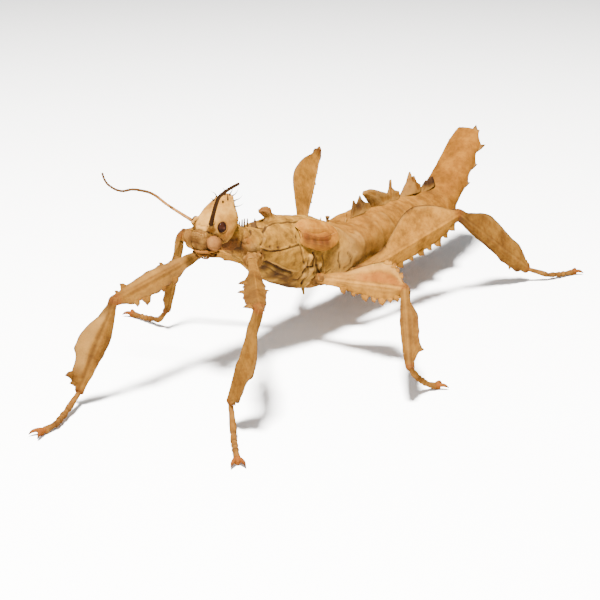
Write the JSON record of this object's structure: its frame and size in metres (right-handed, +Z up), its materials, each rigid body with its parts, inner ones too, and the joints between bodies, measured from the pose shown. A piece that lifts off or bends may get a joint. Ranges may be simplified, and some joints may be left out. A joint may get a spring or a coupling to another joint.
{
  "type": "giant prickly stick insect",
  "caption": "Life-size still model of a grown female giant prickly stick insect, standing on its six leaf-bladed legs with its flattened tail raised.",
  "frame": {"origin": "on the floor, under the middle of the animal's bounding box", "axes": "+Z up; the head faces -Y; +X is the animal's left side"},
  "size_m": [0.0842, 0.142, 0.0468],
  "materials": {
    "head": "smooth warm tan, satin",
    "trunk": "wrinkled khaki tan, satin",
    "abdomen": "orange tan with soft folds, satin",
    "wing": "veined orange tan, satin",
    "leg": "veined tan blades with dark tooth tips, satin",
    "foot": "pinkish orange, satin",
    "eye": "glossy dark red-brown",
    "feeler": "ringed dark brown, satin",
    "mouth": "smooth red-brown, satin"
  },
  "bodies": {
    "root": {"abdomen_front": "abdomen", "abdomen_middle": "abdomen", "abdomen_rear": "abdomen", "abdomen_tail": "abdomen", "antenna_left": "feeler", "antenna_right": "feeler", "coxa_fore_left": "leg", "coxa_fore_right": "leg", "coxa_hind_left": "leg", "coxa_hind_right": "leg", "coxa_middle_left": "leg", "coxa_middle_right": "leg", "eye_left": "eye", "eye_right": "eye", "femur_fore_left": "leg", "femur_fore_right": "leg", "femur_hind_left": "leg", "femur_hind_right": "leg", "femur_middle_left": "leg", "femur_middle_right": "leg", "head": "head", "labium": "mouth", "labrum": "mouth", "mandible_left": "mouth", "mandible_right": "mouth", "mesothorax": "trunk", "metathorax": "trunk", "prothorax": "trunk", "tarsus_fore_left": "foot", "tarsus_fore_right": "foot", "tarsus_hind_left": "foot", "tarsus_hind_right": "foot", "tarsus_middle_left": "foot", "tarsus_middle_right": "foot", "tibia_fore_left": "leg", "tibia_fore_right": "leg", "tibia_hind_left": "leg", "tibia_hind_right": "leg", "tibia_middle_left": "leg", "tibia_middle_right": "leg", "wing_pad_left": "wing", "wing_pad_right": "wing"}
  },
  "joints": []
}
